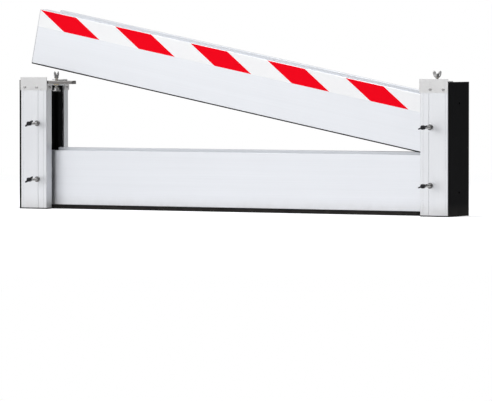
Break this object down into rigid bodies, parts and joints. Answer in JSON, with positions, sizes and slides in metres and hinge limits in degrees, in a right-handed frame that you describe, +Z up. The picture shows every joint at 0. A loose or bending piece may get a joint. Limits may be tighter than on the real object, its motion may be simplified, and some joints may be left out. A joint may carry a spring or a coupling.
{
  "type": "demountable flood barrier",
  "caption": "Low demountable barrier for a garage entrance: channel posts with clamp arms and wing screws hold hollow boards dropped in between them, the top one with warning tape.",
  "frame": {"origin": "middle of the opening, at the floor, on the mid-plane of the boards", "axes": "+Z up, +X along the boards to the right, -Y the front with the wing screws"},
  "size_m": [1.68, 0.2187, 0.7],
  "materials": {
    "aluminium_satin": "satin anodised",
    "aluminium_mill": "mill finish",
    "stainless_brushed": "brushed",
    "rubber_black": "matt",
    "brass_bush": "machined",
    "screw_blackened": "blackened steel",
    "cap_grey": "moulded",
    "film_white": "retroreflective film",
    "film_red": "retroreflective film"
  },
  "bodies": {
    "root": {"left_base_pad": "rubber_black", "left_bracket_screws": "stainless_brushed", "left_front_bracket": "stainless_brushed", "left_front_lip": "rubber_black", "left_pivot_block": "aluminium_mill", "left_pivot_bolt": "stainless_brushed", "left_pivot_washer": "stainless_brushed", "left_post": "aluminium_satin", "left_rear_bracket": "stainless_brushed", "left_rear_seal": "rubber_black", "left_screw_bushes": "stainless_brushed", "left_wall_gasket": "rubber_black", "left_web_liner": "rubber_black", "lower_board": "aluminium_satin", "lower_board_end_caps": "cap_grey", "lower_board_floor_seal": "rubber_black", "lower_board_joint_strip": "aluminium_satin", "right_base_pad": "rubber_black", "right_bracket_screws": "stainless_brushed", "right_front_bracket": "stainless_brushed", "right_front_lip": "rubber_black", "right_pivot_block": "aluminium_mill", "right_pivot_bolt": "stainless_brushed", "right_pivot_washer": "stainless_brushed", "right_post": "aluminium_satin", "right_rear_bracket": "stainless_brushed", "right_rear_seal": "rubber_black", "right_screw_bushes": "stainless_brushed", "right_wall_gasket": "rubber_black", "right_web_liner": "rubber_black"},
    "upper_board": {"upper_board": "aluminium_satin", "upper_board_joint_strip": "aluminium_satin", "upper_board_end_caps": "cap_grey", "upper_board_seal": "rubber_black", "upper_board_tape": "film_white", "upper_board_stripes": "film_red"},
    "left_arm": {"left_clamp_arm": "stainless_brushed", "left_arm_bush": "brass_bush"},
    "left_foot": {"left_press_foot": "stainless_brushed", "left_press_foot_pad": "rubber_black"},
    "left_hold_down": {"left_hold_down_screw": "stainless_brushed"},
    "left_bar": {"left_pressure_bar": "aluminium_mill", "left_bar_facing": "rubber_black"},
    "left_upper_screw": {"left_upper_wing_screw": "screw_blackened"},
    "left_lower_screw": {"left_lower_wing_screw": "screw_blackened"},
    "right_arm": {"right_clamp_arm": "stainless_brushed", "right_arm_bush": "brass_bush"},
    "right_foot": {"right_press_foot": "stainless_brushed", "right_press_foot_pad": "rubber_black"},
    "right_hold_down": {"right_hold_down_screw": "stainless_brushed"},
    "right_bar": {"right_pressure_bar": "aluminium_mill", "right_bar_facing": "rubber_black"},
    "right_upper_screw": {"right_upper_wing_screw": "screw_blackened"},
    "right_lower_screw": {"right_lower_wing_screw": "screw_blackened"}
  },
  "joints": [
    {"name": "upper_board_lowering", "type": "hinge", "parent": "root", "child": "upper_board", "pos_m": [0.764, 0, 0.50838], "axis": [0, -1, 0], "range_deg": [0, 11]},
    {"name": "left_arm_swing", "type": "hinge", "parent": "root", "child": "left_arm", "pos_m": [-0.757, -0.0575, 0.444], "axis": [0, 0, 1], "range_deg": [0, 90]},
    {"name": "left_foot_travel", "type": "slide", "parent": "left_arm", "child": "left_foot", "axis": [0, 0, 1], "range_m": [-0.0075, 0.004]},
    {"name": "left_hold_down_turn", "type": "hinge", "parent": "left_foot", "child": "left_hold_down", "pos_m": [-0.6995, -0.0575, 0.45], "axis": [0, 0, 1], "range_deg": [-1801, 961]},
    {"name": "left_bar_travel", "type": "slide", "parent": "root", "child": "left_bar", "axis": [0, 1, 0], "range_m": [0, 0.004]},
    {"name": "left_lower_screw_turn", "type": "hinge", "parent": "left_bar", "child": "left_lower_screw", "pos_m": [-0.768, -0.075, 0.104], "axis": [0, 1, 0], "range_deg": [-1, 961]},
    {"name": "left_upper_screw_turn", "type": "hinge", "parent": "left_bar", "child": "left_upper_screw", "pos_m": [-0.768, -0.075, 0.3002], "axis": [0, 1, 0], "range_deg": [-1, 961]},
    {"name": "right_arm_swing", "type": "hinge", "parent": "root", "child": "right_arm", "pos_m": [0.757, -0.0575, 0.444], "axis": [0, 0, 1], "range_deg": [0, 90]},
    {"name": "right_foot_travel", "type": "slide", "parent": "right_arm", "child": "right_foot", "axis": [0, 0, 1], "range_m": [-0.0123, 0]},
    {"name": "right_hold_down_turn", "type": "hinge", "parent": "right_foot", "child": "right_hold_down", "pos_m": [0.757, 0, 0.45], "axis": [0, 0, 1], "range_deg": [-2953, 1]},
    {"name": "right_bar_travel", "type": "slide", "parent": "root", "child": "right_bar", "axis": [0, 1, 0], "range_m": [0, 0.004]},
    {"name": "right_lower_screw_turn", "type": "hinge", "parent": "right_bar", "child": "right_lower_screw", "pos_m": [0.768, -0.075, 0.104], "axis": [0, 1, 0], "range_deg": [-1, 961]},
    {"name": "right_upper_screw_turn", "type": "hinge", "parent": "right_bar", "child": "right_upper_screw", "pos_m": [0.768, -0.075, 0.3002], "axis": [0, 1, 0], "range_deg": [-1, 961]}
  ],
  "couplings": [
    {"joint": "left_hold_down_turn", "follows": "left_foot_travel", "rad_per_m": 4188.8},
    {"joint": "left_lower_screw_turn", "follows": "left_bar_travel", "rad_per_m": 4188.8},
    {"joint": "left_upper_screw_turn", "follows": "left_bar_travel", "rad_per_m": 4188.8},
    {"joint": "right_hold_down_turn", "follows": "right_foot_travel", "rad_per_m": 4188.8},
    {"joint": "right_lower_screw_turn", "follows": "right_bar_travel", "rad_per_m": 4188.8},
    {"joint": "right_upper_screw_turn", "follows": "right_bar_travel", "rad_per_m": 4188.8}
  ]
}
